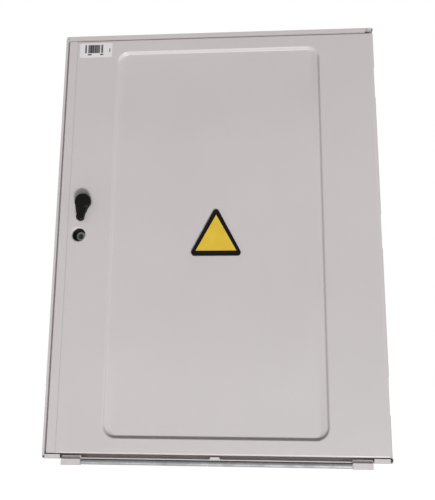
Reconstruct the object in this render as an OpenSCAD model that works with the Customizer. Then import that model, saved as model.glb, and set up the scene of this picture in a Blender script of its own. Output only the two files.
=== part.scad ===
// Electricity meter cabinet for a wall: folded steel shell, pressed door with a
// three-point latch, and the meter, switchgear and wiring behind it.
// Millimetres. X to the right, Z up, the door faces -Y, the wall is the plane y = 0.

/* [Cabinet shell] */
// overall width across the side walls
cabinet_w = 600; // [580:10:640]
// height of the shell without its base rails
cabinet_h = 800; // [780:10:860]
// depth from the front rim to the wall
cabinet_d = 200; // [195:5:240]
// thickness of the folded sheet
sheet = 1.5; // [1.2:0.1:1.8]
// radius of the four long corners of the shell
shell_corner_r = 5; // [4:0.5:8]
// width of the hemmed rim left of the door
rim_left = 4.2; // [4:0.2:6]
// height of the rim above the door
rim_top = 8.6; // [7:0.2:10]
// height of the corner lips below the door
rim_bottom = 7.8; // [6:0.2:9]
// distance from the front rim back to the sealing flange
seal_back = 24; // [23:0.5:26]

/* [Base] */
// width of one base rail
foot_w = 34; // [26:1:40]
// height of a base rail
foot_h = 10.5; // [10:0.5:14]
// distance from the cabinet's side to a base rail
foot_inset = 33; // [31:1:40]
// radius of the gland plate's rolled front edge
nose_r = 4.3; // [3.5:0.1:4.3]
// radius of a cable entry in the gland plate
entry_r = 16; // [12:0.5:18]

/* [Door] */
// gap between the door and the rim
door_gap = 1.4; // [1.4:0.1:2.4]
// depth of the door's folded edges
door_depth = 18; // [16:0.5:19]
// outside radius of the bend along the hinge edge
hinge_bend_r = 8; // [6:0.5:8]
// outside radius of the bends along the other three edges
door_edge_r = 3; // [2:0.5:4]
// width of the margin left of the joggle
margin_w = 16.5; // [15:0.5:18]
// how far the margin lies behind the face
joggle = 1; // [0.6:0.1:1.2]
// distance from the cabinet's sides to the drawn panel
panel_side = 102.4; // [102:0.2:130]
// distance from the shell's top and floor to the drawn panel
panel_end = 34.3; // [34:0.1:100]
// corner radius of the drawn panel
panel_r = 24; // [16:1:32]
// radius of the two bends in the drawn panel's wall
panel_bend_r = 4.2; // [3.6:0.2:4.6]
// steepest slope of the drawn panel's wall, in degrees
panel_slope = 55; // [45:1:58]

/* [Hinges] */
// diameter of a hinge pin
pin_d = 5; // [4:0.5:6]
// distance from the shell's top and floor to the outer hinges
hinge_end = 110; // [100:5:160]
// running clearance of pins and shafts, on the radius
running = 0.05; // [0.03:0.01:0.08]

/* [Handle and latch] */
// distance of the handle's axis from the door's left edge
handle_inset = 47.6; // [46:0.2:50]
// height of the handle's axis above the cabinet's middle
handle_z = 57; // [54:1:62]
// diameter of the handle's round head
handle_head_d = 30; // [28:0.5:33]
// length of the handle's tail from its axis
handle_tail = 37; // [32:1:44]
// width of the handle's tail
handle_tail_w = 14.5; // [12:0.5:16]
// how far the tail leans toward the door's free edge at rest, in degrees
handle_lean = 7; // [0:1:10]
// radius on which the cam carries its two pins
crank_r = 14; // [12:0.5:15]
// width of a latch rod
rod_w = 12; // [10:0.5:13]
// thickness of a latch rod
rod_t = 3.5; // [3:0.25:4]

/* [Lock] */
// distance of the lock's axis from the door's left edge
lock_inset = 38.4; // [37:0.2:40]
// height of the lock's axis above the cabinet's middle
lock_z = -2.4; // [-8:0.2:0]
// radius of the hole in the door
lock_hole_r = 12.5; // [11:0.25:13]
// outside radius of the key barrel
barrel_r = 8; // [7:0.25:9]

/* [Plaque and label] */
// half width between the plaque's lower corner circles
plaque_half_w = 39.2; // [30:0.2:44]
// height of the plaque's lower corner circles
plaque_low_z = -38.3; // [-44:0.1:-30]
// height of the plaque's upper corner circle
plaque_high_z = 36.1; // [28:0.1:44]
// radius of the plaque's corners
plaque_corner_r = 6; // [4:0.5:9]
// width of the paper label
label_w = 64; // [40:1:64]
// height of the paper label
label_h = 30; // [18:1:30]

/* [Mounting plate] */
// distance from the shell's sides to the mounting plate
plate_side = 50; // [48:1:60]
// distance from the shell's top and floor to the mounting plate
plate_end = 50; // [40:1:60]
// distance from the wall to the plate's back
plate_back = 22; // [18:1:24]
// thickness of the mounting plate
plate_t = 2; // [1.5:0.25:3]

/* [Meter and switchgear] */
// width of the meter's base
meter_w = 170; // [150:1:180]
// radius of the copper wires with their insulation
wire_r = 3; // [2.5:0.1:3.2]
// centre-line radius of a bend in a wire
bend_r = 8; // [7:0.5:8]
// height of the meter's base
meter_h = 230; // [225:1:235]

/* [Hidden] */
$fn = 64;
fit = 0.1;
half_w = cabinet_w / 2;
half_h = cabinet_h / 2;
front = -cabinet_d;
gutter_end = half_w - 16;
// sealing flange and its forward lip
seal_y = front + seal_back;
seal_lip_y = front + 13.5;
open_left = -half_w + 17;
open_right = half_w - 44;
open_z = half_h - 25;
// outline of the door
door_left = -half_w + rim_left + door_gap;
door_right = half_w;
door_top = half_h - rim_top - door_gap;
door_low = -half_h + rim_bottom + door_gap;
door_rear = front + door_depth;
door_back = front + sheet;
joggle_run = 2.5;
panel_w = cabinet_w - 2 * panel_side;
panel_h = cabinet_h - 2 * panel_end;
panel_at = [0, (door_top + door_low) / 2];
// the bends begin a little ahead of the face, which they meet at a slight angle
bend_ahead = 0.08;
panel_depth = 2 * panel_bend_r * (1 - cos(panel_slope)) - bend_ahead;
floor_y = front + panel_depth;
// hinge line
hinge_x = half_w - 8.5;
hinge_y = front + 13;
hinge_z = half_h - hinge_end;
hinge_heights = [-hinge_z, 0, hinge_z];
knuckle_r = pin_d / 2 + 2;
knuckle_h = 30;
ear_gap = 0.3;
ear_t = 3.5;
bracket_h = 54;
bracket_t = 3;
notch_h = 64;
// latch and lock, all in planes behind the sealing flange
handle_x = door_left + handle_inset;
shaft_r = 5;
bush_r = 7.9;
bush_front = front - 2;
lever_back = front - 8;
lever_t = 10;
lever_edge_r = 4;
cam_front = seal_y + sheet + 2;
cam_t = 3;
cam_back = cam_front + cam_t;
crank_pin_r = 2.5;
crank_side = crank_r * cos(45);
rod_travel = 2 * crank_side;
rod_front = cam_back + 4.5;
rod_back = rod_front + rod_t;
rod_x = (crank_r + crank_side) / 2;
rod_end = open_z - 7;
slot_half = crank_pin_r + 0.75;
guide_heights = [150, half_h - 70];
lock_x = door_left + lock_inset;
collar_back = door_back + 5.5;
cup_floor = front + 22;
cup_back = cup_floor + 3;
barrel_back = cup_back + 1.5;
lock_cam_front = barrel_back + 0.5;
lock_cam_back = lock_cam_front + 2.5;
plug_r = barrel_r - 2.7 - 0.08;
// base
foot_mid = half_w - foot_inset - foot_w / 2;
strip_half = half_w - foot_inset - foot_w - 0.8;
sill_y = front + 8;
gasket_t = 1.2;
gland_top = -half_h - gasket_t;
gland_t = 1.5;
gland_half = strip_half - 62.2;
gland_y0 = front + 55;
gland_y1 = -45;
entry_pitch = (2 * gland_half - 20) / 4;
entry_xs = [for (i = [0 : 3]) (i - 1.5) * entry_pitch];
gland_screw_xs = [-gland_half - 25, 0, gland_half + 25];
gland_screw_ys = [gland_y0 - 15, gland_y1 + 15];
entry_y = (gland_y0 + gland_y1) / 2;
// plate and what hangs on it
plate_w = cabinet_w - 2 * plate_side;
plate_h = cabinet_h - 2 * plate_end;
plate_y = -plate_back - plate_t;
wall_hole_x = half_w - 30;
wall_hole_z = half_h - 35;
wall_hole_r = 4.5;
stud_x = plate_w / 2 - 25;
stud_z = plate_h / 2 - 25;
stud_r = 4;
base_y = plate_y - 20;
case_y = base_y - 48;
meter_half = meter_w / 2;
meter_low = 60;
meter_high = meter_low + meter_h;
cover_low = meter_low + 48;
cover_high = meter_high - 4;
cover_wall = 2.5;
terminal_pitch = (meter_w - 44) / 7;
terminal_xs = [for (i = [0 : 7]) (i - 3.5) * terminal_pitch];
terminal_y = plate_y - 38;
terminal_low = meter_low + 2;
terminal_high = cover_low - 2;
terminal_screw_z = terminal_low + 16;
cover_screw_xs = [-meter_half + 13, meter_half - 13];
cover_screw_z = terminal_high - 9;
window_half = meter_half - 40;
window_low = meter_high - 80;
window_high = meter_high - 35;
button_x = meter_half - 23;
button_z = meter_high - 58;
button_r = 4;
main_x = -130;
main_z = -180;
main_xs = [for (i = [0 : 3]) main_x + (i - 1.5) * 35];
main_front = plate_y - 70;
main_nose = main_front - 10;
main_pivot_y = main_front + 14;
breaker_x = 106;
breaker_z = -180;
breaker_xs = [for (i = [0 : 3]) breaker_x + (i - 1.5) * 18];
rail_front = plate_y - 7.5;
breaker_front = rail_front - 63.5;
breaker_nose = breaker_front - 10;
breaker_pivot_y = breaker_front + 3;
load_y = terminal_y - 2 * bend_r;
bar_z = -plate_h / 2 + 50;
bar_half = 60;
neutral_x = 10;
earth_x = 140;
neutral_y = plate_y - 24;
bar_t = 10;

// helpers

module block(from, to) {
    translate(from) cube(to - from);
}

// round bar along Y at [x, z]
module bar_y(at, r, y0, y1) {
    translate([at[0], y0, at[1]]) rotate([-90, 0, 0]) cylinder(r = r, h = y1 - y0);
}

// cone along Y at [x, z]
module cone_y(at, r0, r1, y0, y1) {
    translate([at[0], y0, at[1]]) rotate([-90, 0, 0]) cylinder(r1 = r0, r2 = r1, h = y1 - y0);
}

// flat (x, z) shape made thick along Y
module thick_y(y0, y1) {
    translate([0, y1, 0]) rotate([90, 0, 0]) linear_extrude(y1 - y0) children();
}

// flat (y, z) shape made long along X
module long_x(x0, x1) {
    translate([x0, 0, 0]) rotate([90, 0, 90]) linear_extrude(x1 - x0) children();
}

module rounded_flat(w, h, r) {
    square([w - 2 * r, h], center = true);
    square([w, h - 2 * r], center = true);
    for (sx = [-1, 1], sz = [-1, 1]) {
        translate([sx * (w / 2 - r), sz * (h / 2 - r)]) circle(r);
    }
}

// half of a drawn field in section: x out to half, y down to the floor; the wall is an S of two
// bends, or straight at 45 degrees where bend is 0
module draw_section(half, bend, ahead) {
    drop = panel_depth + bend_ahead;
    foot = half - 2 * bend * sin(panel_slope);
    middle = [half - bend * sin(panel_slope), drop / 2];
    meet = middle[0] - drop / 2 / tan(panel_slope);
    if (bend == 0) {
        polygon([[0, -ahead], [half, -ahead], [half, 0], [half - drop, drop], [0, drop]]);
    } else {
        difference() {
            polygon([[0, -ahead], [half, -ahead], [half, 0], middle, [foot, drop], [0, drop]]);
            translate([half, bend]) circle(bend);
        }
        intersection() {
            translate([foot, drop - bend]) circle(bend);
            polygon([[foot, drop - bend], middle, [meet, drop], [foot, drop]]);
        }
    }
}

// rounded field drawn in from y = 0, with that section all round
module drawn_pad(w, h, r, bend, ahead) {
    sx = w / 2 - r;
    sz = h / 2 - r;
    for (kx = [0, 1], kz = [0, 1]) mirror([kx, 0, 0]) mirror([0, 0, kz]) {
        translate([sx, 0, -sz]) rotate([-90, 0, 0]) rotate_extrude(angle = 90) draw_section(r, bend, ahead);
    }
    for (side = [0, 1]) mirror([0, 0, side]) long_x(-sx, sx) {
        mirror([1, -1]) draw_section(h / 2, bend, ahead);
    }
    for (side = [0, 1]) mirror([side, 0, 0]) translate([0, 0, -sz]) {
        linear_extrude(2 * sz) draw_section(w / 2, bend, ahead);
    }
}

// screw along Y: the head lies in front of y = face, the shank goes back from it
module screw_y(at, head_r, head_h, shank_r, shank_h, face) {
    difference() {
        bar_y(at, head_r, face - head_h, face);
        translate([at[0], 0, at[1]]) rotate([0, 45, 0]) {
            for (turn = [0, 90]) {
                rotate([0, turn, 0]) {
                    block([-head_r * 0.6, face - head_h - 1, -head_r * 0.12],
                          [head_r * 0.6, face - head_h * 0.5, head_r * 0.12]);
                }
            }
        }
    }
    bar_y(at, shank_r, face, face + shank_h);
}

function unit(v) = v / norm(v);

// round wire through points that turn by right angles
module wire(points) {
    last = len(points) - 1;
    for (i = [0 : last - 1]) {
        along = unit(points[i + 1] - points[i]);
        start = points[i] + along * (i > 0 ? bend_r : 0);
        end = points[i + 1] - along * (i < last - 1 ? bend_r : 0);
        if (norm(end - start) > 0.01) {
            side = abs(along[2]) > 0.5 ? [1, 0, 0] : [0, 0, 1];
            other = cross(along, side);
            multmatrix([[side[0], other[0], along[0], start[0]],
                        [side[1], other[1], along[1], start[1]],
                        [side[2], other[2], along[2], start[2]]]) {
                cylinder(r = wire_r, h = norm(end - start));
            }
        }
    }
    for (i = [1 : last - 1]) {
        into = unit(points[i] - points[i - 1]);
        out = unit(points[i + 1] - points[i]);
        axis = cross(into, out);
        centre = points[i] + (out - into) * bend_r;
        multmatrix([[-out[0], into[0], axis[0], centre[0]],
                    [-out[1], into[1], axis[1], centre[1]],
                    [-out[2], into[2], axis[2], centre[2]]]) {
            rotate_extrude(angle = 90) translate([bend_r, 0]) circle(wire_r);
        }
    }
}

// shell

module shell_tube() {
    difference() {
        thick_y(front, 0) rounded_flat(cabinet_w, cabinet_h, shell_corner_r);
        thick_y(front - 1, -sheet) {
            rounded_flat(cabinet_w - 2 * sheet, cabinet_h - 2 * sheet, shell_corner_r - sheet);
        }
    }
}

module rim() {
    // hem of the left wall
    block([-half_w + sheet / 2, front, -half_h + shell_corner_r],
          [-half_w + rim_left, seal_y + sheet, half_h - sheet]);
    // front and floor of the gutter over the door
    block([-half_w + shell_corner_r, front, half_h - rim_top],
          [gutter_end, front + sheet, half_h - sheet / 2]);
    block([-half_w + rim_left / 2, front, half_h - rim_top],
          [gutter_end, seal_y + sheet, half_h - rim_top + sheet]);
    // turned-down end over the hinge corner
    block([half_w - 11, front + 1, half_h - 4],
          [half_w - shell_corner_r, front + 1 + sheet, half_h - sheet / 2]);
    // corner lips and sill below the door
    lip_end = half_w - foot_inset + 1;
    for (side = [-1, 1]) {
        x0 = side > 0 ? lip_end : -half_w + shell_corner_r;
        x1 = side > 0 ? half_w - shell_corner_r : -lip_end;
        block([x0, front, -half_h + sheet / 2], [x1, front + sheet, -half_h + rim_bottom]);
        sill_x = side * foot_mid;
        block([sill_x - foot_w / 2, sill_y, -half_h + sheet / 2],
              [sill_x + foot_w / 2, sill_y + sheet, -half_h + 5]);
    }
    // small locating tab in the middle of the sill
    thick_y(sill_y, sill_y + sheet) {
        translate([0, -half_h]) polygon([[-10, sheet / 2], [10, sheet / 2], [7, 5.5], [-7, 5.5]]);
    }
}

module cabinet_body() {
    color([0.75, 0.73, 0.73]) difference() {
        union() {
            shell_tube();
            rim();
        }
        // the hinge side stays open in front of the sealing flange
        block([half_w - shell_corner_r - 1, front - 1, -half_h + rim_bottom],
              [half_w + 1, seal_y, half_h - 4]);
        // the floor stops short between the corner lips
        block([-half_w + foot_inset - 1, front - 1, -half_h - 1],
              [half_w - foot_inset + 1, sill_y, -half_h + sheet + 0.5]);
        // wall fixing holes and gland opening
        for (sx = [-1, 1], sz = [-1, 1]) {
            bar_y([sx * wall_hole_x, sz * wall_hole_z], wall_hole_r, -sheet - 1, 1);
        }
        block([-gland_half, gland_y0, -half_h - 1], [gland_half, gland_y1, -half_h + sheet + 1]);
        for (x = gland_screw_xs, y = gland_screw_ys) {
            translate([x, y, -half_h - 1]) cylinder(r = 3.2, h = sheet + 2);
        }
    }
}

// flange welded into the shell, cut clear of its bends, with a lip turned forward round the opening
module seal_frame() {
    cut = shell_corner_r;
    x0 = -half_w + rim_left;
    x1 = half_w - sheet;
    z0 = -half_h + sheet;
    z1 = half_h - rim_top;
    z2 = half_h - sheet;
    color([0.75, 0.73, 0.73]) difference() {
        union() {
            thick_y(seal_y, seal_y + sheet) {
                polygon([[x0, z0 + cut], [x0 + cut, z0], [x1 - cut, z0], [x1, z0 + cut], [x1, z2 - cut],
                         [x1 - cut, z2], [gutter_end, z2], [gutter_end, z1], [x0, z1]]);
            }
            block([open_left - sheet, seal_lip_y, -open_z - sheet],
                  [open_right + sheet, seal_y + sheet, open_z + sheet]);
        }
        block([open_left, seal_lip_y - 1, -open_z], [open_right, seal_y + sheet + 1, open_z]);
    }
}

module base_rails() {
    color([0.75, 0.73, 0.73]) for (side = [-1, 1]) translate([side * foot_mid, 0, 0]) {
        difference() {
            block([-foot_w / 2, front + 3, -half_h - foot_h], [foot_w / 2, -8, -half_h]);
            block([-foot_w / 2 + 2, front + 5, -half_h - foot_h - 1], [foot_w / 2 - 2, -10, -half_h - 2]);
        }
    }
}

module gland_plate() {
    nose_y = sill_y + 1;
    color([0.72, 0.71, 0.71]) difference() {
        union() {
            block([-strip_half, nose_y, gland_top - gland_t], [strip_half, -20, gland_top]);
            long_x(-strip_half, strip_half) difference() {
                translate([nose_y, gland_top - nose_r]) circle(nose_r);
                translate([nose_y, gland_top - nose_r]) circle(nose_r - gland_t);
                translate([nose_y, gland_top - 2 * nose_r - 1]) square([nose_r + 1, 2 * nose_r + 2]);
            }
        }
        for (x = entry_xs) {
            translate([x, entry_y, gland_top - gland_t - 1]) cylinder(r = entry_r, h = gland_t + 2);
        }
        for (x = gland_screw_xs, y = gland_screw_ys) {
            translate([x, y, gland_top - gland_t - 1]) cylinder(r = 3.2, h = gland_t + 2);
        }
    }
}

module gland_gasket() {
    color([0.12, 0.12, 0.12]) difference() {
        block([-gland_half - 45, gland_y0 - 27, gland_top], [gland_half + 45, gland_y1 + 23, -half_h]);
        block([-gland_half - 2, gland_y0 - 2, gland_top - 1], [gland_half + 2, gland_y1 + 2, -half_h + 1]);
        for (x = gland_screw_xs, y = gland_screw_ys) {
            translate([x, y, gland_top - 1]) cylinder(r = 3.4, h = gasket_t + 2);
        }
    }
}

module gland_screws() {
    head_z = gland_top - gland_t;
    color([0.7, 0.7, 0.72]) for (x = gland_screw_xs, y = gland_screw_ys) translate([x, y, head_z]) {
        translate([0, 0, -4]) cylinder(r = 5.8, h = 4, $fn = 6);
        cylinder(r = 3, h = 16);
    }
}

module gland_plugs() {
    color([0.15, 0.15, 0.15]) for (x = entry_xs) translate([x, entry_y, gland_top - gland_t]) {
        translate([0, 0, -2.5]) cylinder(r = entry_r + 3, h = 2.5);
        cylinder(r = entry_r - fit, h = gland_t);
        translate([0, 0, gland_t]) cylinder(r1 = entry_r + 1.5, r2 = entry_r - 2, h = 4);
    }
}

// mounting plate

module plate_studs() {
    color([0.72, 0.73, 0.75]) for (sx = [-1, 1], sz = [-1, 1]) {
        at = [sx * stud_x, sz * stud_z];
        bar_y(at, 7, -plate_back, -sheet);
        bar_y(at, stud_r, plate_y - 12, -plate_back);
    }
}

module mounting_plate() {
    color([0.8, 0.81, 0.82]) difference() {
        thick_y(plate_y, -plate_back) rounded_flat(plate_w, plate_h, 6);
        for (sx = [-1, 1], sz = [-1, 1]) {
            bar_y([sx * stud_x, sz * stud_z], stud_r + 0.5, plate_y - 1, -plate_back + 1);
        }
        bar_y([0, meter_high + 11], 2.6, plate_y - 1, -plate_back + 1);
    }
}

module plate_nuts() {
    color([0.72, 0.73, 0.75]) for (sx = [-1, 1], sz = [-1, 1]) {
        at = [sx * stud_x, sz * stud_z];
        difference() {
            union() {
                bar_y(at, 10, plate_y - 1.5, plate_y);
                translate([at[0], plate_y - 8, at[1]]) rotate([-90, 0, 0]) {
                    cylinder(r = 7.5, h = 6.5, $fn = 6);
                }
            }
            bar_y(at, stud_r + running, plate_y - 9, plate_y + 1);
        }
    }
}

// meter

module meter_base() {
    color([0.2, 0.21, 0.22]) difference() {
        union() {
            thick_y(base_y, plate_y) translate([0, (meter_low + meter_high) / 2]) {
                rounded_flat(meter_w, meter_high - meter_low, 6);
            }
            thick_y(plate_y - 6, plate_y) translate([0, meter_high + 7]) rounded_flat(26, 26, 8);
            for (sx = [-1, 1], z = [cover_low + 12, cover_high - 11]) {
                bar_y([sx * (meter_half - 15), z], 4, base_y - 24.4, base_y);
            }
        }
        bar_y([0, meter_high + 11], 2.6, plate_y - 7, plate_y + 1);
        // hollow under the board
        block([-meter_half + 23, base_y - 1, cover_low + 4], [meter_half - 23, plate_y - 4, cover_high - 6]);
    }
}

module meter_board() {
    board_y = base_y - 26;
    color([0.1, 0.32, 0.18]) {
        block([-meter_half + 9, board_y, cover_low + 6], [meter_half - 9, board_y + 1.6, cover_high - 5]);
        block([-window_half - 1, case_y + 4.5, window_low - 1], [window_half + 1, board_y, window_high + 1]);
        bar_y([button_x, button_z], 3, case_y + 6.7, board_y);
        for (x = [-50, -20, 10]) {
            bar_y([x, cover_low + 42], 9, board_y - 16, board_y);
        }
        block([30, board_y - 4, cover_low + 32], [58, board_y, cover_low + 60]);
    }
}

module meter_cover() {
    cover_w = meter_w - 6;
    cover_h = cover_high - cover_low;
    middle = (cover_low + cover_high) / 2;
    color([0.86, 0.87, 0.87]) difference() {
        thick_y(case_y, base_y) translate([0, middle]) rounded_flat(cover_w, cover_h, 6);
        thick_y(case_y + cover_wall, base_y + 1) translate([0, middle]) {
            rounded_flat(cover_w - 2 * cover_wall, cover_h - 2 * cover_wall, 6 - cover_wall);
        }
        block([-window_half, case_y - 1, window_low], [window_half, case_y + cover_wall + 1, window_high]);
        bar_y([button_x, button_z], button_r + 0.15, case_y - 1, case_y + cover_wall + 1);
        // shallow field round the window
        block([-window_half - 8, case_y - 1, window_low - 8],
              [window_half + 8, case_y + 0.6, window_high + 8]);
    }
}

module meter_window() {
    color([0.55, 0.62, 0.55]) {
        block([-window_half + fit, case_y + 0.2, window_low + fit],
              [window_half - fit, case_y + cover_wall, window_high - fit]);
        block([-window_half - 3, case_y + cover_wall, window_low - 3],
              [window_half + 3, case_y + cover_wall + 1.5, window_high + 3]);
    }
}

module meter_button() {
    color([0.15, 0.3, 0.6]) {
        bar_y([button_x, button_z], button_r, case_y - 2, case_y + cover_wall + 0.3);
        bar_y([button_x, button_z], button_r + 2, case_y + cover_wall + 0.2, case_y + cover_wall + 2);
    }
}

module meter_screws() {
    color([0.72, 0.73, 0.75]) screw_y([0, meter_high + 11], 4.5, 3, 2.5, 10, plate_y - 6);
}

module terminal_block() {
    color([0.13, 0.13, 0.14]) difference() {
        block([-meter_half + 5, base_y - 38, terminal_low], [meter_half - 5, base_y, terminal_high]);
        for (x = terminal_xs) {
            translate([x, terminal_y, terminal_low - 1]) cylinder(r = wire_r + 0.3, h = 31);
            bar_y([x, terminal_screw_z], 3.4, base_y - 39, terminal_y);
        }
        for (x = cover_screw_xs) {
            bar_y([x, cover_screw_z], 2.6, base_y - 39, base_y - 20);
        }
    }
}

module terminal_screws() {
    color([0.78, 0.66, 0.36]) for (x = terminal_xs) {
        difference() {
            bar_y([x, terminal_screw_z], 3.3, base_y - 34, terminal_y - wire_r);
            block([x - 4, base_y - 35, terminal_screw_z - 0.6], [x + 4, base_y - 33, terminal_screw_z + 0.6]);
        }
    }
}

module terminal_cover() {
    low = meter_low - 50;
    color([0.86, 0.87, 0.87]) difference() {
        union() {
            block([-meter_half, case_y - 2, low], [meter_half, case_y + 0.5, terminal_high]);
            for (side = [-1, 1]) {
                x0 = side > 0 ? meter_half - cover_wall : -meter_half;
                block([x0, case_y - 2, low], [x0 + cover_wall, base_y, terminal_high]);
            }
            for (x = cover_screw_xs) {
                bar_y([x, cover_screw_z], 5, case_y, base_y - 38);
            }
        }
        for (x = cover_screw_xs) {
            bar_y([x, cover_screw_z], 2.6, case_y - 3, base_y - 37);
        }
    }
}

module cover_screws() {
    color([0.72, 0.73, 0.75]) for (x = cover_screw_xs) {
        screw_y([x, cover_screw_z], 4.5, 3, 2.5, base_y - 21 - case_y + 2, case_y - 2);
    }
}

// switchgear

module main_switch() {
    color([0.2, 0.21, 0.22]) difference() {
        union() {
            thick_y(main_front, plate_y) translate([main_x, main_z]) rounded_flat(140, 160, 4);
            block([main_x - 45, main_nose, main_z - 35], [main_x + 45, main_front + 1, main_z + 35]);
        }
        // slot and pivot of the toggle
        block([main_x - 8, main_nose - 1, main_z - 22], [main_x + 8, main_pivot_y + 10, main_z + 22]);
        translate([main_x - 13, main_pivot_y, main_z]) rotate([0, 90, 0]) cylinder(r = 2 + running, h = 26);
        // wire entries and clamp screws, top and bottom
        for (x = main_xs, side = [-1, 1]) {
            translate([x, terminal_y, main_z + side * 68]) cylinder(r = wire_r + 0.3, h = 26, center = true);
            bar_y([x, main_z + side * 68], 3.4, main_front - 1, terminal_y);
        }
    }
}

// rocking lever about X through [x, pivot_y, z], drawn in its lower position
module rocker(x, pivot_y, z, width, hub_r, reach, pin_half) {
    translate([x, pivot_y, z]) rotate([20, 0, 0]) {
        rotate([0, 90, 0]) cylinder(r = hub_r, h = width, center = true);
        block([-width / 2, -reach, -3.5], [width / 2, 0, 3.5]);
        translate([0, -reach, 0]) rotate([0, 90, 0]) cylinder(r = 3.5, h = width, center = true);
        rotate([0, 90, 0]) cylinder(r = 2, h = 2 * pin_half, center = true);
    }
}

module main_toggle() {
    color([0.08, 0.08, 0.08]) rocker(main_x, main_pivot_y, main_z, 14, 7, 38, 12.5);
}

module din_rail() {
    color([0.74, 0.75, 0.77]) long_x(40, 220) translate([0, breaker_z]) {
        translate([plate_y - 1, -12.5]) square([1, 25]);
        for (side = [0, 1]) mirror([0, side]) {
            translate([rail_front, 12.5]) square([7.5, 1]);
            translate([rail_front, 12.5]) square([1, 5]);
        }
    }
}

module breaker() {
    color([0.82, 0.83, 0.83]) translate([breaker_x, 0, breaker_z]) difference() {
        union() {
            block([-36, breaker_front, -45], [36, rail_front, 45]);
            block([-36, breaker_nose, -22], [36, breaker_front + 1, 22]);
            for (z = [18, -24]) {
                block([-36, rail_front - 1, z], [36, rail_front + 4, z + 6]);
            }
        }
        // slot and pivot of the toggle
        block([-31, breaker_nose - 1, -13], [31, breaker_pivot_y + 8, 13]);
        translate([-34, breaker_pivot_y, 0]) rotate([0, 90, 0]) cylinder(r = 2 + running, h = 68);
        // joints between the four poles
        for (i = [-1 : 1]) {
            block([18 * i - 0.3, breaker_front - 1, -46], [18 * i + 0.3, breaker_front + 1, 46]);
        }
        // wire entries and clamp screws, top and bottom
        for (x = breaker_xs, side = [-1, 1]) translate([x - breaker_x, 0, 0]) {
            translate([0, load_y, side * 36]) cylinder(r = wire_r + 0.3, h = 20, center = true);
            bar_y([0, side * 34], 3.2, breaker_front - 1, load_y);
        }
    }
}

module breaker_toggle() {
    color([0.08, 0.08, 0.08]) rocker(breaker_x, breaker_pivot_y, breaker_z, 60, 5, 22, 33.5);
}

// a row of clamp holes along a bar
bar_hole_xs = [for (i = [-2 : 2]) i * 18];

// clamp bar whose back lies at y = back
module terminal_bar(x, back) {
    middle = back - bar_t / 2;
    difference() {
        block([x - bar_half, back - bar_t, bar_z - 6], [x + bar_half, back, bar_z + 6]);
        for (dx = bar_hole_xs) {
            translate([x + dx, middle, bar_z - 7]) cylinder(r = 2.6, h = 14);
            bar_y([x + dx, bar_z], 2.1, back - bar_t - 1, middle);
        }
    }
}

module earth_bar() {
    color([0.78, 0.66, 0.36]) terminal_bar(earth_x, plate_y);
}

module neutral_bar() {
    color([0.78, 0.66, 0.36]) terminal_bar(neutral_x, neutral_y);
}

module bar_insulators() {
    color([0.65, 0.2, 0.12]) for (dx = [12 - bar_half, bar_half - 12]) {
        bar_y([neutral_x + dx, bar_z], 11, neutral_y, plate_y);
    }
}

module bar_screws() {
    color([0.72, 0.73, 0.75]) for (dx = bar_hole_xs) {
        screw_y([earth_x + dx, bar_z], 3.5, 3, 2, 4, plate_y - bar_t);
        screw_y([neutral_x + dx, bar_z], 3.5, 3, 2, 4, neutral_y - bar_t);
    }
}

// wires of pole k, from the main switch to the meter and from the meter to the breaker
module pole_wires(k) {
    x_in = terminal_xs[2 * k];
    x_out = terminal_xs[2 * k + 1];
    supply_z = meter_low - 92 - 15 * k;
    load_z = meter_low - 94 + 11 * k;
    wire([[x_in, terminal_y, terminal_low + 30], [x_in, terminal_y, supply_z],
          [main_xs[k], terminal_y, supply_z], [main_xs[k], terminal_y, main_z + 55]]);
    wire([[x_out, terminal_y, terminal_low + 30], [x_out, terminal_y, load_z],
          [x_out, load_y, load_z], [breaker_xs[k], load_y, load_z],
          [breaker_xs[k], load_y, breaker_z + 26]]);
}

module first_phase_wires() {
    color([0.45, 0.27, 0.16]) pole_wires(0);
}

module second_phase_wires() {
    color([0.08, 0.08, 0.09]) pole_wires(1);
}

module third_phase_wires() {
    color([0.5, 0.51, 0.52]) pole_wires(2);
}

module neutral_wires() {
    color([0.13, 0.3, 0.62]) pole_wires(3);
}

// hinges

module hinge_brackets() {
    color([0.7, 0.71, 0.73]) for (z = hinge_heights) translate([0, 0, z]) difference() {
        union() {
            block([hinge_x - 27, seal_y - bracket_t, -bracket_h / 2], [hinge_x + 5, seal_y, bracket_h / 2]);
            for (side = [0, 1]) mirror([0, 0, side]) translate([0, 0, knuckle_h / 2 + ear_gap]) {
                linear_extrude(ear_t) {
                    translate([hinge_x, hinge_y]) circle(5);
                    translate([hinge_x - 5, hinge_y]) square([10, seal_y - hinge_y - 1]);
                }
            }
        }
        translate([hinge_x, hinge_y, -bracket_h]) cylinder(r = pin_d / 2 + running, h = 2 * bracket_h);
        for (dz = [-22.5, 22.5]) {
            bar_y([hinge_x - 19, dz], 2.6, seal_y - bracket_t - 1, seal_y + 1);
        }
    }
}

module bracket_screws() {
    color([0.72, 0.73, 0.75]) for (z = hinge_heights, dz = [-22.5, 22.5]) {
        screw_y([hinge_x - 19, z + dz], 4.2, 2.6, 2.5, bracket_t, seal_y - bracket_t);
    }
}

module hinge_pins() {
    ear_top = knuckle_h / 2 + ear_gap + ear_t;
    color([0.78, 0.79, 0.8]) for (z = hinge_heights) translate([hinge_x, hinge_y, z]) {
        translate([0, 0, -ear_top - 2]) cylinder(r = pin_d / 2, h = 2 * ear_top + 3);
        translate([0, 0, ear_top]) cylinder(r = pin_d / 2 + 1.5, h = 2);
    }
}

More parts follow.
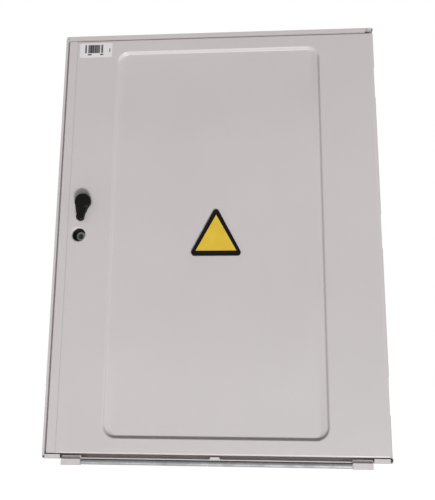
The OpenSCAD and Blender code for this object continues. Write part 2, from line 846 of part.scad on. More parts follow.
module hinge_leaves() {
    color([0.7, 0.71, 0.73]) for (z = hinge_heights) translate([0, 0, z - knuckle_h / 2]) difference() {
        linear_extrude(knuckle_h) difference() {
            union() {
                translate([hinge_x, hinge_y]) circle(knuckle_r);
                translate([hinge_x - 2, door_back]) square([2.5, hinge_y - door_back]);
                translate([hinge_x - 26, door_back]) square([26.4, 2]);
            }
            translate([hinge_x, hinge_y]) circle(pin_d / 2 + running);
        }
        for (dz = [6, knuckle_h - 6]) {
            bar_y([hinge_x - 17, dz], 2.6, door_back - 1, door_back + 3);
        }
    }
}

module leaf_screws() {
    color([0.72, 0.73, 0.75]) for (z = hinge_heights, dz = [-9, 9]) {
        translate([hinge_x - 17, 0, z + dz]) {
            bar_y([0, 0], 2.5, door_back, door_back + 2);
            bar_y([0, 0], 4.2, door_back + 2, door_back + 4.5);
        }
    }
}

// door

// plan of the door, shrunk by inset, running back to y = rear
module door_plan(inset, rear) {
    bend_x = door_right - hinge_bend_r;
    bend_y = front + hinge_bend_r;
    edge_x = door_left + door_edge_r;
    edge_y = front + joggle + door_edge_r;
    translate([edge_x, edge_y]) circle(door_edge_r - inset);
    polygon([[door_left + inset, rear], [door_left + inset, edge_y], [edge_x, front + joggle + inset],
             [door_left + margin_w, front + joggle + inset],
             [door_left + margin_w + joggle_run, front + inset], [bend_x, front + inset], [bend_x, rear]]);
    translate([bend_x - 1, bend_y]) square([hinge_bend_r + 1 - inset, rear - bend_y]);
    translate([bend_x, bend_y]) circle(hinge_bend_r - inset);
}

// side view of the door as (y, z), shrunk by inset
module door_side(inset, rear) {
    for (z = [door_low + door_edge_r, door_top - door_edge_r]) {
        translate([front + door_edge_r, z]) circle(door_edge_r - inset);
    }
    translate([front + inset, door_low + door_edge_r]) {
        square([rear - front - inset, door_top - door_low - 2 * door_edge_r]);
    }
    translate([front + door_edge_r, door_low + inset]) {
        square([rear - front - door_edge_r, door_top - door_low - 2 * inset]);
    }
}

module door_form(inset, rear) {
    intersection() {
        translate([0, 0, -half_h]) linear_extrude(cabinet_h) door_plan(inset, rear);
        long_x(-half_w - 1, half_w + 1) door_side(inset, rear);
    }
}

module door_skin() {
    lock_at = [lock_x, lock_z];
    color([0.77, 0.75, 0.75]) difference() {
        union() {
            difference() {
                door_form(0, door_rear);
                door_form(sheet, door_rear + 1);
            }
            // back of the drawn panel
            translate([panel_at[0], door_back - bend_ahead, panel_at[1]]) {
                drawn_pad(panel_w - 2.2, panel_h - 2.2, panel_r - 1.1, 0, 0.3);
            }
            // collar drawn inward round the lock hole
            bar_y(lock_at, lock_hole_r + sheet, door_back - 0.2, collar_back);
        }
        translate([panel_at[0], front - bend_ahead, panel_at[1]]) {
            drawn_pad(panel_w, panel_h, panel_r, panel_bend_r, 1);
        }
        bar_y(lock_at, lock_hole_r, front - 1, collar_back + 1);
        cone_y(lock_at, lock_hole_r + 2.4, lock_hole_r - 0.6, front - 0.6, front + 2.4);
        bar_y([handle_x, handle_z], bush_r + fit, front - 1, door_back + 1);
        for (z = hinge_heights) {
            block([hinge_x - 5, front + 3, z - notch_h / 2], [half_w + 1, door_rear + 1, z + notch_h / 2]);
        }
    }
}

module door_gasket() {
    x0 = open_left - 6.5;
    x1 = open_right + 6;
    inner0 = open_left + 3.5;
    inner1 = open_right - 5;
    rear = seal_lip_y - 0.5;
    step = door_left + margin_w + joggle_run;
    color([0.1, 0.1, 0.1]) difference() {
        union() {
            block([x0, door_back + joggle, -open_z - 7], [step + 1, rear, open_z + 7]);
            block([step, door_back, -open_z - 7], [x1, rear, open_z + 7]);
        }
        block([inner0, door_back - 1, -open_z + 5.5], [inner1, rear + 1, open_z - 5.5]);
    }
}

module door_stiffener() {
    x0 = panel_w / 2 + 18;
    half = half_h - 100;
    color([0.77, 0.75, 0.75]) translate([0, 0, -half]) linear_extrude(2 * half) {
        for (x = [x0, x0 + 24]) {
            translate([x, door_back]) square([8, 1.2]);
        }
        for (x = [x0 + 6.8, x0 + 24]) {
            translate([x, door_back]) square([1.2, 13]);
        }
        translate([x0 + 6.8, door_back + 11.8]) square([18.4, 1.2]);
    }
}

// plaque and label

// triangle through three equal corner circles, as (x, z)
module rounded_triangle(half_base, low, high, r) {
    rise = high - low;
    slant = norm([half_base, rise]);
    out = [rise, half_base] * r / slant;
    left_out = [-out[0], out[1]];
    corners = [[half_base, low], [-half_base, low], [0, high]];
    for (corner = corners) {
        translate(corner) circle(r);
    }
    polygon([corners[0] + [0, -r], corners[0] + out, corners[2] + out,
             corners[2] + left_out, corners[1] + left_out, corners[1] + [0, -r]]);
}

// sharp-cornered field inside the plaque's rim
module plaque_face_flat(grow) {
    half_base = plaque_half_w - 1.9 + 2 * grow;
    low = plaque_low_z + 3.3 - grow;
    polygon([[-half_base, low], [half_base, low], [0, plaque_high_z - 3.8 + 2 * grow]]);
}

module plaque_back() {
    color([0.06, 0.06, 0.06]) difference() {
        thick_y(floor_y - 3, floor_y) {
            rounded_triangle(plaque_half_w, plaque_low_z, plaque_high_z, plaque_corner_r);
        }
        thick_y(floor_y - 4, floor_y - 2) plaque_face_flat(fit);
    }
}

module plaque_face() {
    color([0.86, 0.72, 0.2]) thick_y(floor_y - 2.6, floor_y - 2) plaque_face_flat(0);
}

module door_label() {
    x0 = door_left + margin_w + joggle_run + 4;
    z1 = door_top - 5.5;
    color([0.93, 0.93, 0.92]) block([x0, front - 0.4, z1 - label_h], [x0 + label_w, front, z1]);
}

// handle and latch

module handle_bush() {
    at = [handle_x, handle_z];
    color([0.1, 0.1, 0.1]) difference() {
        union() {
            bar_y(at, bush_r + 4, bush_front, front);
            bar_y(at, bush_r, front, front + 15);
        }
        bar_y(at, shaft_r + running, bush_front - 1, front + 16);
    }
}

module bush_nut() {
    color([0.72, 0.73, 0.75]) difference() {
        translate([handle_x, door_back, handle_z]) rotate([-90, 0, 0]) cylinder(r = 13.5, h = 5, $fn = 6);
        bar_y([handle_x, handle_z], bush_r + running, door_back - 1, door_back + 6);
    }
}

// half of a lever's section: x runs out to side * half, y from the front of the lever to its back
module lever_section(half, side) {
    y0 = lever_back - lever_t;
    corner = half - lever_edge_r;
    polygon([[0, y0], [side * corner, y0], [side * half, y0 + lever_edge_r],
             [side * half, lever_back], [0, lever_back]]);
    intersection() {
        translate([side * corner, y0 + lever_edge_r]) circle(lever_edge_r);
        polygon([[0, y0], [side * half, y0], [side * half, lever_back], [0, lever_back]]);
    }
}

module handle_lever() {
    half = handle_tail_w / 2;
    y0 = lever_back - lever_t;
    color([0.1, 0.1, 0.09]) translate([handle_x, 0, handle_z]) rotate([0, handle_lean, 0]) difference() {
        union() {
            // stem and rounded head
            bar_y([0, 0], 9, lever_back - 1, bush_front - 0.3);
            rotate([-90, 0, 0]) rotate_extrude() lever_section(handle_head_d / 2, 1);
            // tapered neck under the head
            thick_y(y0 + 1.5, lever_back) {
                polygon([[-half - 4.5, -9], [half + 4.5, -9], [half, -24], [-half, -24]]);
            }
            // tail of the same section with a round end
            translate([0, 0, -handle_tail + half]) {
                linear_extrude(handle_tail - half) {
                    lever_section(half, 1);
                    lever_section(half, -1);
                }
                rotate([-90, 0, 0]) rotate_extrude() lever_section(half, 1);
            }
        }
        bar_y([0, 0], shaft_r + running, lever_back - 8, bush_front + 1);
    }
}

module handle_shaft() {
    at = [handle_x, handle_z];
    color([0.7, 0.71, 0.73]) {
        bar_y(at, shaft_r, lever_back - 8, cam_front);
        translate([handle_x, 0, handle_z]) block([-3.5, cam_front - 1, -3.5], [3.5, cam_back, 3.5]);
    }
}

module latch_cam() {
    color([0.74, 0.74, 0.72]) translate([handle_x, 0, handle_z]) difference() {
        union() {
            thick_y(cam_front, cam_back) {
                circle(20);
                translate([-7, 0]) square([14, 40]);
                translate([0, 40]) circle(7);
            }
            bar_y([crank_side, -crank_side], crank_pin_r, cam_back - 1, rod_back + 1);
            bar_y([-crank_side, crank_side], crank_pin_r, cam_back - 1, rod_back + 1);
        }
        block([-3.55, cam_front - 1, -3.55], [3.55, cam_back + 1, 3.55]);
    }
}

module cam_screw() {
    color([0.72, 0.73, 0.75]) bar_y([handle_x, handle_z], 6, cam_back, cam_back + 3);
}

// latch rod in the upper position's form, about the handle's axis
module rod(side) {
    foot_z = -crank_side;
    end_z = rod_end - side * handle_z;
    x0 = rod_x - rod_w / 2;
    x1 = rod_x + rod_w / 2;
    difference() {
        union() {
            block([x0, rod_front, foot_z], [x1, rod_back, end_z]);
            block([x0 - 4, rod_front, foot_z - 7], [x1 + 4, rod_back, foot_z + 7]);
            block([x0, cam_front, end_z - 24], [x1, rod_back, end_z]);
        }
        // slot for the crank pin
        block([crank_side - slot_half, rod_front - 1, foot_z - slot_half],
              [crank_r + slot_half, rod_back + 1, foot_z + slot_half]);
    }
}

module upper_rod() {
    color([0.74, 0.74, 0.72]) translate([handle_x, 0, handle_z]) rod(1);
}

module lower_rod() {
    color([0.74, 0.74, 0.72]) translate([handle_x, 0, handle_z]) rotate([0, 180, 0]) rod(-1);
}

module rod_guides() {
    color([0.12, 0.12, 0.12]) for (side = [-1, 1], z = guide_heights) {
        translate([handle_x + side * rod_x, 0, side * z]) difference() {
            block([-11, door_back, -8], [11, rod_back + 4, 8]);
            block([-rod_w / 2 - 0.4, rod_front - 0.4, -9], [rod_w / 2 + 0.4, rod_back + 0.4, 9]);
        }
    }
}

// lock

module lock_cup() {
    at = [lock_x, lock_z];
    color([0.07, 0.07, 0.07]) difference() {
        bar_y(at, lock_hole_r + sheet + 2.3, door_back, cup_back);
        bar_y(at, lock_hole_r + sheet + running, door_back - 1, collar_back);
        bar_y(at, lock_hole_r, collar_back - 1, cup_floor);
        bar_y(at, barrel_r + running, cup_floor - 1, cup_back + 1);
    }
}

module lock_barrel() {
    at = [lock_x, lock_z];
    color([0.7, 0.7, 0.7]) difference() {
        union() {
            bar_y(at, barrel_r, cup_floor - 3, barrel_back);
            bar_y(at, barrel_r + 3, cup_back, barrel_back);
        }
        bar_y(at, barrel_r - 2.7, cup_floor - 4, barrel_back + 1);
    }
}

module lock_plug() {
    color([0.3, 0.3, 0.3]) translate([lock_x, 0, lock_z]) difference() {
        union() {
            bar_y([0, 0], plug_r, cup_floor - 0.5, lock_cam_front);
            block([-2.5, lock_cam_front - 1, -2.5], [2.5, lock_cam_back, 2.5]);
        }
        block([-0.9, cup_floor - 1, -3.6], [0.9, cup_floor + 3.5, 3.6]);
    }
}

module lock_cam() {
    color([0.74, 0.74, 0.72]) translate([lock_x, 0, lock_z]) difference() {
        thick_y(lock_cam_front, lock_cam_back) {
            circle(9);
            translate([-6, 0]) square([12, 30]);
            translate([0, 30]) circle(6);
        }
        block([-2.55, lock_cam_front - 1, -2.55], [2.55, lock_cam_back + 1, 2.55]);
    }
}

module lock_cam_screw() {
    color([0.72, 0.73, 0.75]) bar_y([lock_x, lock_z], 4.5, lock_cam_back, lock_cam_back + 2.5);
}

cabinet_body();
seal_frame();
base_rails();
gland_plate();
gland_gasket();
gland_screws();
gland_plugs();
plate_studs();
mounting_plate();
plate_nuts();
meter_base();
meter_board();
meter_cover();
meter_window();
meter_button();
meter_screws();
terminal_block();
terminal_screws();
terminal_cover();
cover_screws();
main_switch();
main_toggle();
din_rail();
breaker();
breaker_toggle();
earth_bar();
neutral_bar();
bar_insulators();
bar_screws();
first_phase_wires();
second_phase_wires();
third_phase_wires();
neutral_wires();
hinge_brackets();
bracket_screws();
hinge_pins();
hinge_leaves();
leaf_screws();
door_skin();
door_gasket();
door_stiffener();
plaque_back();
plaque_face();
door_label();
handle_bush();
bush_nut();
handle_lever();
handle_shaft();
latch_cam();
cam_screw();
upper_rod();
lower_rod();
rod_guides();
lock_cup();
lock_barrel();
lock_plug();
lock_cam();
lock_cam_screw();
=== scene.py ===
# Looks of an electricity meter cabinet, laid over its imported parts.
# Metres, in the frame of the parts: X to the right, Z up, the door faces -Y.
import math

import bmesh
import bpy
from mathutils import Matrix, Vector


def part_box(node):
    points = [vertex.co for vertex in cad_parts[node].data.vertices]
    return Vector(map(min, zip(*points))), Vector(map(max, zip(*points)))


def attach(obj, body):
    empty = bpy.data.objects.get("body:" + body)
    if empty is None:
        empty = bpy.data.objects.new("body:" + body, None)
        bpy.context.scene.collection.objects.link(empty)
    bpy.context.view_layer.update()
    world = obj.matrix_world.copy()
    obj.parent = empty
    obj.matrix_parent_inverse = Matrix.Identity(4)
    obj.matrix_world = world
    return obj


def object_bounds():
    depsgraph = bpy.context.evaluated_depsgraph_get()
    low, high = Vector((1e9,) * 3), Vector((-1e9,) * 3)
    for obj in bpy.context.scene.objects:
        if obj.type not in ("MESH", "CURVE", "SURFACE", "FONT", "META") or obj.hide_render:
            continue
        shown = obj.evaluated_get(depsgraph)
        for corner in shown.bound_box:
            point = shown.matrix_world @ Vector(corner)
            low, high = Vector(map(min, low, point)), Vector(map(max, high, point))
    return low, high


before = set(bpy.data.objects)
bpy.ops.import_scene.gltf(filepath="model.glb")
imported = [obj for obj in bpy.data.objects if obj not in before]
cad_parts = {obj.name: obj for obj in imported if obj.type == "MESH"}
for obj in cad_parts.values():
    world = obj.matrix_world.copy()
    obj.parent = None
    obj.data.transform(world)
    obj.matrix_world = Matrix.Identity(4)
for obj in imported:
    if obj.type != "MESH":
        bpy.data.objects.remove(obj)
solid_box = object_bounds()


# Shell, sealing frame and base rails
# Folded and spot-welded sheet steel with a baked powder coat in pale warm grey.
# The frame is welded inside the front, and the rails under the floor.

class Shade:
    """One output of a shader node; Python operators on it add Math nodes."""

    def __init__(self, tree, socket=None):
        self.tree = tree
        self.socket = socket

    def node(self, kind, settings, sockets, out=0):
        made = self.tree.nodes.new("ShaderNode" + kind)
        for name, value in settings.items():
            if name == "stops":
                for stop, (place, colour) in zip(made.color_ramp.elements, value):
                    stop.position = place
                    stop.color = colour
            else:
                setattr(made, name, value)
        for name, value in sockets.items():
            if isinstance(value, Shade):
                self.tree.links.new(value.socket, made.inputs[name])
            else:
                made.inputs[name].default_value = value
        return Shade(self.tree, made.outputs[out])

    def math(self, operation, left, right=0.0):
        return self.node("Math", {"operation": operation}, {0: left, 1: right})

    def __add__(self, other):
        return self.math("ADD", self, other)

    __radd__ = __add__

    def __mul__(self, other):
        return self.math("MULTIPLY", self, other)

    __rmul__ = __mul__

    def __sub__(self, other):
        return self.math("SUBTRACT", self, other)

    def __rsub__(self, other):
        return self.math("SUBTRACT", other, self)

    def __gt__(self, other):
        return self.math("GREATER_THAN", self, other)

    def __lt__(self, other):
        return self.math("LESS_THAN", self, other)

    def floor(self):
        return self.math("FLOOR", self)

    def size(self):
        return self.math("ABSOLUTE", self)

    def between(self, low, high):
        return (self > low) * (self < high)

    def ramp(self, low, high):
        stops = [(low, (0, 0, 0, 1)), (high, (1, 1, 1, 1))]
        return self.node("ValToRGB", {"stops": stops}, {"Fac": self})

    def pick(self, first, second):
        return self.node("Mix", {"data_type": "RGBA"}, {0: self, 6: first, 7: second}, 2)

    def noise(self, scale, detail=2.0, roughness=0.5):
        sockets = {"Vector": self, "Scale": scale, "Detail": detail, "Roughness": roughness}
        return self.node("TexNoise", {}, sockets, "Fac")

    def stretched(self, x, y, z):
        return self.node("Mapping", {}, {"Vector": self, "Scale": (x, y, z)})

    def bump(self, strength, distance):
        sockets = {"Height": self, "Strength": strength, "Distance": distance}
        return self.node("Bump", {}, sockets, "Normal")


def srgb(red, green, blue):
    """Linear colour for the shader from the 0 to 255 values of a picture."""
    def linear(value):
        part = value / 255
        if part <= 0.04045:
            return part / 12.92
        return ((part + 0.055) / 1.055) ** 2.4
    return (linear(red), linear(green), linear(blue), 1.0)


def darker(colour, share):
    """The same hue with a share of its light, or more than all of it."""
    return (colour[0] * share, colour[1] * share, colour[2] * share, 1.0)


class Finish:
    """A material under way: its shader, and the place on the piece in metres."""

    def __init__(self, name, metallic=0.0, specular=0.5):
        self.material = bpy.data.materials.new(name)
        self.material.use_nodes = True
        self.tree = self.material.node_tree
        self.shader = self.tree.nodes["Principled BSDF"]
        self.shader.inputs["Metallic"].default_value = metallic
        self.shader.inputs["Specular IOR Level"].default_value = specular
        start = Shade(self.tree)
        self.place = start.node("TexCoord", {}, {}, "Object")

    def axis(self, name):
        return self.place.node("SeparateXYZ", {}, {"Vector": self.place}, name)

    def facing(self, name):
        normal = self.place.node("NewGeometry", {}, {}, "Normal")
        return self.place.node("SeparateXYZ", {}, {"Vector": normal}, name)

    def feed(self, socket, shade):
        self.tree.links.new(shade.socket, self.shader.inputs[socket])


def dress(finish, *nodes):
    """Gives a finish to parts that keep their own shape."""
    for node in nodes:
        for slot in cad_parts[node].material_slots:
            slot.material = finish.material


def powder_coat(name, colour):
    """Baked coat: fine orange peel, faint cloudiness, handling marks and dust on ledges."""
    coat = Finish(name)
    cloud = coat.place.noise(5.0, 3.0)
    speck = coat.place.noise(420.0, 1.0).ramp(0.66, 0.74)
    tint = cloud.ramp(0.3, 0.7).pick(darker(colour, 0.975), darker(colour, 1.015))
    tint = (speck * 0.06).pick(tint, darker(colour, 0.7))
    dust = coat.facing("Z").ramp(0.75, 0.98) * coat.place.noise(60.0).ramp(0.35, 0.7) * 0.25
    coat.feed("Base Color", dust.pick(tint, srgb(176, 168, 156)))
    smear = coat.place.stretched(3.0, 3.0, 14.0).noise(6.0, 4.0, 0.65)
    coat.feed("Roughness", 0.3 + smear * 0.1 + dust * 0.3)
    peel = coat.place.noise(620.0, 2.0) + coat.place.noise(210.0, 1.0) * 0.8
    coat.grain = peel.bump(0.1, 0.0004)
    coat.feed("Normal", coat.grain)
    return coat


grey_paint = srgb(200, 194, 194)
shell_coat = powder_coat("shell_powder_coat", grey_paint)
dress(shell_coat, "cabinet_body", "seal_frame", "base_rails")


# Gland plate with its screws, plugs and seal
# Galvanised sheet with a rolled front edge, held up against a flat rubber seal by plated screws.
# Soft rubber plugs close the cable entries until cables are drawn in.

def zinc_plate(name, colour=srgb(186, 188, 190), rough=0.34):
    """Zinc plating: brushed grain, soft spangle and dull blotches."""
    zinc = Finish(name, metallic=1.0)
    spangle = zinc.place.node("TexVoronoi", {}, {"Vector": zinc.place, "Scale": 130.0}, "Distance")
    blotch = zinc.place.noise(26.0, 4.0, 0.6)
    tint = spangle.ramp(0.1, 0.7).pick(colour, darker(colour, 0.86))
    zinc.feed("Base Color", (blotch.ramp(0.5, 0.72) * 0.4).pick(tint, darker(colour, 0.66)))
    grain = zinc.place.stretched(900.0, 900.0, 60.0).noise(1.0, 2.0)
    zinc.feed("Roughness", rough + grain * 0.16 + blotch.ramp(0.45, 0.75) * 0.16)
    zinc.feed("Normal", (grain + spangle * 0.3).bump(0.12, 0.0003))
    return zinc


def rubber(name, colour, pits_per_metre):
    """Moulded or foamed rubber: dull, finely pitted, with a bloom of dust."""
    soft = Finish(name, specular=0.25)
    pits = soft.place.node("TexVoronoi", {}, {"Vector": soft.place, "Scale": pits_per_metre}, "Distance")
    bloom = soft.place.noise(45.0, 4.0, 0.6)
    soft.feed("Base Color", (bloom.ramp(0.4, 0.75) * 0.5).pick(colour, srgb(74, 73, 71)))
    soft.feed("Roughness", 0.72 + bloom * 0.2)
    soft.feed("Normal", pits.bump(0.35, 0.0005))
    return soft


zinc_screws = zinc_plate("zinc_screws")
dress(zinc_screws, "gland_screws")
# The gland plate's zinc is darker than the other plating: partly its own dull zinc, partly painted shade
# for the dark band under the sill.
dress(zinc_plate("gland_zinc_and_painted_shade", srgb(150, 150, 152), 0.5), "gland_plate")
dress(rubber("plug_rubber", srgb(34, 34, 34), 900.0), "gland_plugs", "gland_gasket")


# Mounting plate with its studs and nuts
# Galvanised sheet hung on four studs that are welded to the back of the shell.
# Nuts with washers press it against the shoulders of the studs.

dress(zinc_plate("galvanised_plate", srgb(196, 199, 202), 0.4), "mounting_plate")
dress(zinc_screws, "plate_studs", "plate_nuts")


# Meter base, terminal block and their screws
# Moulded in dark glass-filled plastic; the base hangs by its lug on one screw.
# Brass clamp screws in the terminal block press on the bared wire ends.

def moulded_plastic(name, colour, rough, grain=1500.0, relief=0.0003, specular=0.4, rub=0.3):
    """Moulded plastic: spark-eroded grain, slight sink clouds and rubbed patches."""
    plastic = Finish(name, specular=specular)
    cloud = plastic.place.noise(18.0, 3.0)
    tint = cloud.ramp(0.3, 0.7).pick(darker(colour, 0.93), darker(colour, 1.05))
    rubbed = plastic.place.noise(70.0, 5.0, 0.7).ramp(0.56, 0.74)
    plastic.feed("Base Color", (rubbed * rub).pick(tint, darker(colour, 1.6)))
    plastic.feed("Roughness", rough + cloud * 0.1 - rubbed * 0.08)
    texture = plastic.place.noise(grain, 1.0)
    plastic.feed("Normal", texture.bump(0.18, relief))
    return plastic


def brass(name):
    """Drawn brass: fine lengthwise lines under a brown tarnish."""
    bar = Finish(name, metallic=1.0)
    lines = bar.place.stretched(40.0, 1400.0, 1400.0).noise(1.0, 2.0)
    tarnish = bar.place.noise(55.0, 4.0, 0.62)
    tint = tarnish.ramp(0.45, 0.72).pick(srgb(206, 170, 92), srgb(140, 104, 56))
    bar.feed("Base Color", tint)
    bar.feed("Roughness", 0.24 + lines * 0.14 + tarnish * 0.14)
    bar.feed("Normal", lines.bump(0.1, 0.0003))
    return bar


dark_case = moulded_plastic("dark_case_plastic", srgb(52, 54, 57), 0.5)
brass_parts = brass("drawn_brass")
dress(dark_case, "meter_base", "terminal_block")
dress(brass_parts, "terminal_screws")
dress(zinc_screws, "meter_screws")


# Meter board, display and window
# A lacquered circuit board on four posts carries the display behind a clear window.
# The display shows a row of plain zeros, as a new meter does.

def circuit_board(name, low, high, face):
    """Green lacquer over copper tracks, with dull solder dots and a pale display before the face."""
    board = Finish(name, specular=0.5)
    quarter_turn = (math.pi / 2, 0, 0)
    flat = board.place.node("Mapping", {}, {"Vector": board.place, "Rotation": quarter_turn})
    wiring = {"Vector": flat, "Scale": 60.0, "Mortar Size": 0.03}
    tracks = board.place.node("TexBrick", {"offset": 0.37, "squash": 0.6}, wiring, "Fac")
    solder = board.place.node("TexVoronoi", {}, {"Vector": board.place, "Scale": 190.0}, "Distance")
    dots = solder.ramp(0.12, 0.18)
    tint = tracks.pick(srgb(22, 78, 44), srgb(44, 112, 58))
    lacquer = dots.pick(srgb(176, 178, 176), tint)
    spot = board.axis("X").between(low.x, high.x) * board.axis("Z").between(low.z, high.z)
    display = spot * (board.axis("Y") < face)
    board.feed("Base Color", display.pick(lacquer, srgb(168, 178, 156)))
    board.feed("Roughness", 0.3 + dots * 0.12)
    board.feed("Normal", ((tracks + dots) * (1 - display)).bump(0.2, 0.0004))
    return board


def slab_mesh(name, outlines, near, far):
    """Flat (x, z) outlines made thick between two places along Y."""
    shape = bmesh.new()
    for outline in outlines:
        front = [shape.verts.new((x, near, z)) for x, z in outline]
        back = [shape.verts.new((x, far, z)) for x, z in outline]
        shape.faces.new(front)
        shape.faces.new(reversed(back))
        count = len(outline)
        for i in range(count):
            j = (i + 1) % count
            shape.faces.new((front[j], front[i], back[i], back[j]))
    bmesh.ops.recalc_face_normals(shape, faces=shape.faces)
    mesh = bpy.data.meshes.new(name)
    shape.to_mesh(mesh)
    shape.free()
    piece = bpy.data.objects.new(name, mesh)
    bpy.context.scene.collection.objects.link(piece)
    return piece


segment_half = 0.0012


def segment(x, z, length, upright):
    """Pointed bar of a display digit about its middle."""
    half = length / 2
    ends = [(-half, 0), (-half + segment_half, segment_half), (half - segment_half, segment_half),
            (half, 0), (half - segment_half, -segment_half), (-half + segment_half, -segment_half)]
    if upright:
        return [(x + b, z + a) for a, b in ends]
    return [(x + a, z + b) for a, b in ends]


digit_w = 0.0085
digit_h = 0.0105
digit_pitch = 0.0125
digit_count = 6
segment_gap = 0.001
ink_near = 0.0001
ink_far = 0.0005
display_low, display_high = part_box("meter_window")
display_middle = (display_low.z + display_high.z) / 2
zeros = []
for place in range(digit_count):
    x = (place - (digit_count - 1) / 2) * digit_pitch
    for side in (-1, 1):
        zeros.append(segment(x, display_middle + side * digit_h, digit_w - segment_gap, False))
        for level in (-1, 1):
            z = display_middle + level * digit_h / 2
            zeros.append(segment(x + side * digit_w / 2, z, digit_h - segment_gap, True))
glass_back = display_high.y
digits = slab_mesh("display_digits", zeros, glass_back + ink_near, glass_back + ink_far)
ink = Finish("display_ink", specular=0.3)
ink.feed("Base Color", ink.place.noise(300.0).pick(srgb(24, 28, 26), srgb(40, 46, 42)))
ink.feed("Roughness", 0.4 + ink.place.noise(500.0) * 0.2)
digits.data.materials.append(ink.material)
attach(digits, "cabinet")

window = Finish("window_plastic")
window.shader.inputs["Transmission Weight"].default_value = 0.85
window.shader.inputs["IOR"].default_value = 1.49
haze = window.place.noise(140.0, 4.0)
window.feed("Base Color", haze.pick(srgb(226, 232, 224), srgb(236, 240, 234)))
window.feed("Roughness", 0.04 + haze * 0.06)
dress(window, "meter_window")
# What stands before the board's face, behind the window, is the display.
board_thick = 0.0016
face_margin = 0.0002
board_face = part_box("meter_board")[1].y - board_thick - face_margin
dress(circuit_board("board_lacquer", display_low, display_high, board_face), "meter_board")


# Meter cover, terminal cover and button
# Light grey moulded covers; the terminal cover is held by two sealable screws.
# A blue button steps through the readings.

pale_case = moulded_plastic("pale_case_plastic", srgb(214, 215, 213), 0.46, rub=0.06)
dress(pale_case, "meter_cover", "terminal_cover")
dress(moulded_plastic("button_plastic", srgb(40, 84, 150), 0.3), "meter_button")
dress(zinc_screws, "cover_screws")


# Main switch and breaker
# Moulded cases with black levers; the breaker clips on a plated steel rail.
# White strokes and rings beside the levers mark on and off.

def ring(x, z, outer, inner, count=24):
    """Flat ring as a row of short pieces, so that each outline stays simple."""
    pieces = []
    for i in range(count):
        a = 2 * math.pi * i / count
        b = 2 * math.pi * (i + 1) / count
        pieces.append([(x + outer * math.cos(a), z + outer * math.sin(a)),
                       (x + outer * math.cos(b), z + outer * math.sin(b)),
                       (x + inner * math.cos(b), z + inner * math.sin(b)),
                       (x + inner * math.cos(a), z + inner * math.sin(a))])
    return pieces


def stroke(x, z, width, height):
    """Upright bar about its middle."""
    return [(x - width / 2, z - height / 2), (x + width / 2, z - height / 2),
            (x + width / 2, z + height / 2), (x - width / 2, z + height / 2)]


white_ink = Finish("white_ink", specular=0.3)
worn = white_ink.place.noise(900.0, 3.0).ramp(0.35, 0.6)
white_ink.feed("Base Color", worn.pick(srgb(190, 190, 188), srgb(238, 238, 236)))
white_ink.feed("Roughness", 0.6 - worn * 0.15)
mark_proud = 0.0001
mark_sunk = 0.0002
marks = {"main_switch": (0.028, 0.003, 0.0075), "breaker": (0.0175, 0.002, 0.004)}
for device, (reach, width, size) in marks.items():
    low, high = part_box(device)
    middle_x = (low.x + high.x) / 2
    middle_z = (low.z + high.z) / 2
    outlines = [stroke(middle_x, middle_z + reach, width, size)]
    outlines += ring(middle_x, middle_z - reach, size / 2, size / 2 - width / 2)
    print_marks = slab_mesh(device + "_marks", outlines, low.y - mark_proud, low.y + mark_sunk)
    print_marks.data.materials.append(white_ink.material)
    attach(print_marks, "cabinet")

black_lever = moulded_plastic("black_lever_plastic", srgb(12, 11, 10), 0.3,
                              grain=1100.0, relief=0.0002, specular=0.1)
dress(dark_case, "main_switch")
dress(pale_case, "breaker")
dress(black_lever, "main_toggle", "breaker_toggle")
dress(zinc_plate("rail_plating"), "din_rail")


# Terminal bars
# Drawn brass bars with clamp screws: the earth bar lies on the plate,
# and the neutral bar stands off it on two resin insulators.

dress(brass_parts, "earth_bar", "neutral_bar")
dress(moulded_plastic("insulator_resin", srgb(136, 52, 36), 0.36), "bar_insulators")
dress(zinc_screws, "bar_screws")


# Wires
# Stranded copper in coloured insulation, bent by hand from the switch to the meter
# and on to the breaker: brown, black and grey phases and a blue neutral.

def insulation(name, colour):
    """Extruded insulation: faint ripples and a waxy sheen."""
    sleeve = Finish(name, specular=0.5)
    ripple = sleeve.place.noise(240.0, 2.0)
    tint = ripple.ramp(0.3, 0.7).pick(darker(colour, 0.9), darker(colour, 1.08))
    sleeve.feed("Base Color", tint)
    sleeve.feed("Roughness", 0.36 + ripple * 0.12)
    sleeve.feed("Normal", ripple.bump(0.12, 0.0004))
    return sleeve


dress(insulation("brown_insulation", srgb(104, 62, 40)), "first_phase_wires")
dress(insulation("black_insulation", srgb(30, 30, 32)), "second_phase_wires")
dress(insulation("grey_insulation", srgb(132, 134, 136)), "third_phase_wires")
dress(insulation("blue_insulation", srgb(44, 92, 164)), "neutral_wires")


# Hinges
# Steel brackets screwed to the sealing flange, leaves screwed inside the door,
# and a turned pin through each pair; the door's edge is notched round them.

turned_steel = zinc_plate("turned_steel", srgb(200, 201, 203), 0.2)
dress(zinc_plate("hinge_plating", srgb(178, 180, 182)), "hinge_brackets", "hinge_leaves")
dress(zinc_screws, "bracket_screws", "leaf_screws")
dress(turned_steel, "hinge_pins")


# Door
# One pressed and folded sheet with a drawn panel, powder coated like the shell.
# A hat rail stiffens it, and a foamed rubber seal runs round its inside.

